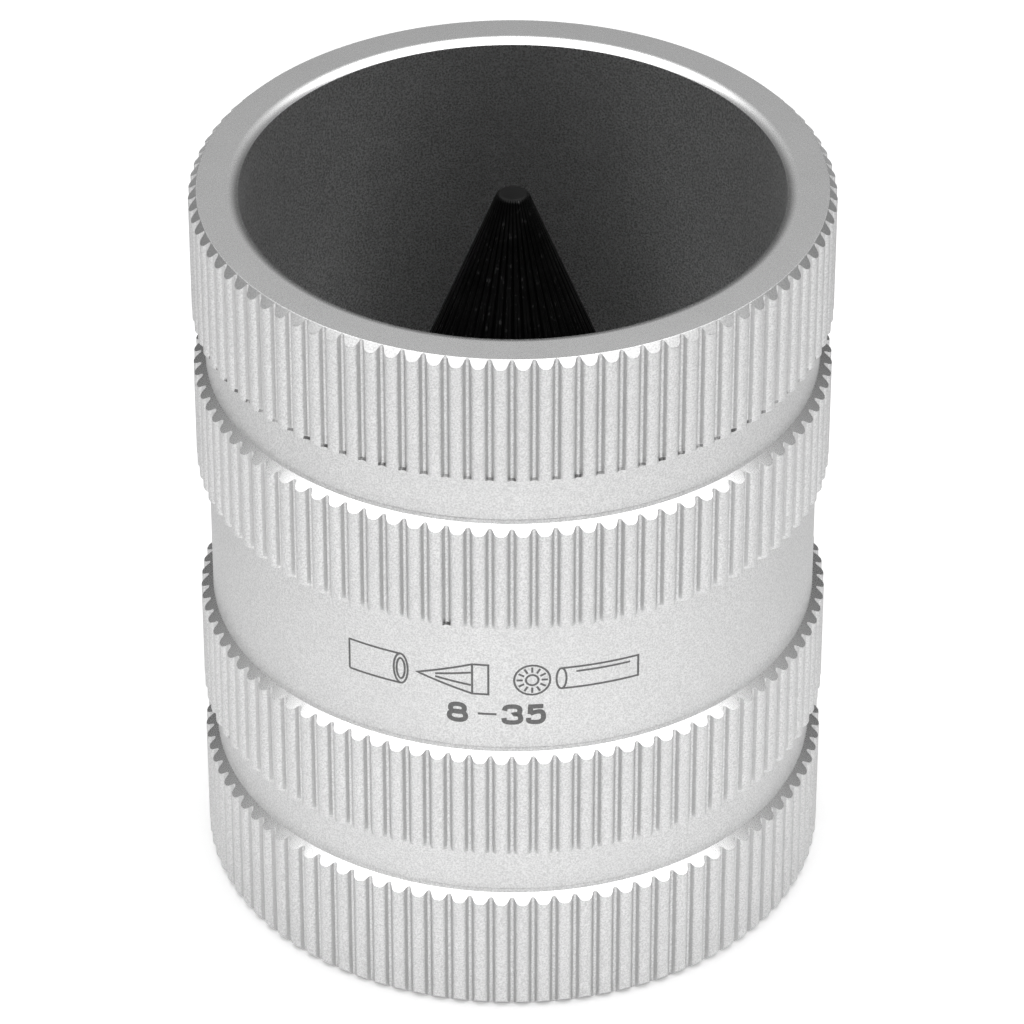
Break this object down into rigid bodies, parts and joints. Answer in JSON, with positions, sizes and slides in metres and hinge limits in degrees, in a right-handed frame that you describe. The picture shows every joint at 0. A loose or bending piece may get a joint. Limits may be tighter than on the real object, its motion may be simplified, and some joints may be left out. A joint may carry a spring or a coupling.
{
  "type": "tube deburring tool",
  "caption": "Fluted cylindrical hand barrel with a toothed cone in one end for inner tube edges and a toothed funnel in the other end for outer edges.",
  "frame": {"origin": "centre of the bottom rim, where the tool stands", "axes": "+Z is the barrel's axis, towards the end with the cone; -Y is the side with the size marking"},
  "size_m": [0.052, 0.052, 0.064],
  "materials": {
    "barrel_aluminium": "fine blasted satin, clear anodised",
    "cutter_steel": "hardened steel, black oxide",
    "screw_steel": "black oxide, lightly oiled",
    "spring_steel": "bright spring steel",
    "pin_steel": "ground"
  },
  "bodies": {
    "root": {"barrel": "barrel_aluminium", "cone_cutter": "cutter_steel", "funnel_cutter": "cutter_steel", "cone_screw": "screw_steel", "lock_washer": "spring_steel", "drive_pins": "pin_steel", "snap_ring": "spring_steel"}
  },
  "joints": []
}
